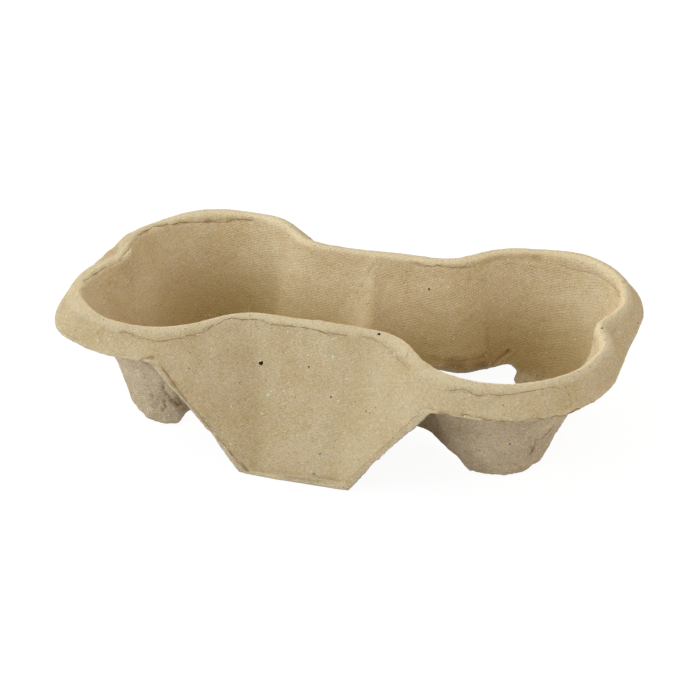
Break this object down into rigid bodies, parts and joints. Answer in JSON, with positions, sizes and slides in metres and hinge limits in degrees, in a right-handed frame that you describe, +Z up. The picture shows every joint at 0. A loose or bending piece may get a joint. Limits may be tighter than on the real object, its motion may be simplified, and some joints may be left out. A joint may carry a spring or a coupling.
{
  "type": "cup carrier",
  "caption": "Moulded paper-pulp carrier for take-away cups: open pockets in a flared rim, a low divider between them and scooped aprons that stand on the table.",
  "frame": {"origin": "centre of the footprint, on the table the carrier stands on", "axes": "+X along the carrier's length towards one cup pocket, -Y towards the front apron, +Z up"},
  "size_m": [0.211, 0.1166, 0.048],
  "materials": {
    "moulded_pulp": null
  },
  "bodies": {
    "root": {"cup_carrier": "moulded_pulp"}
  },
  "joints": []
}
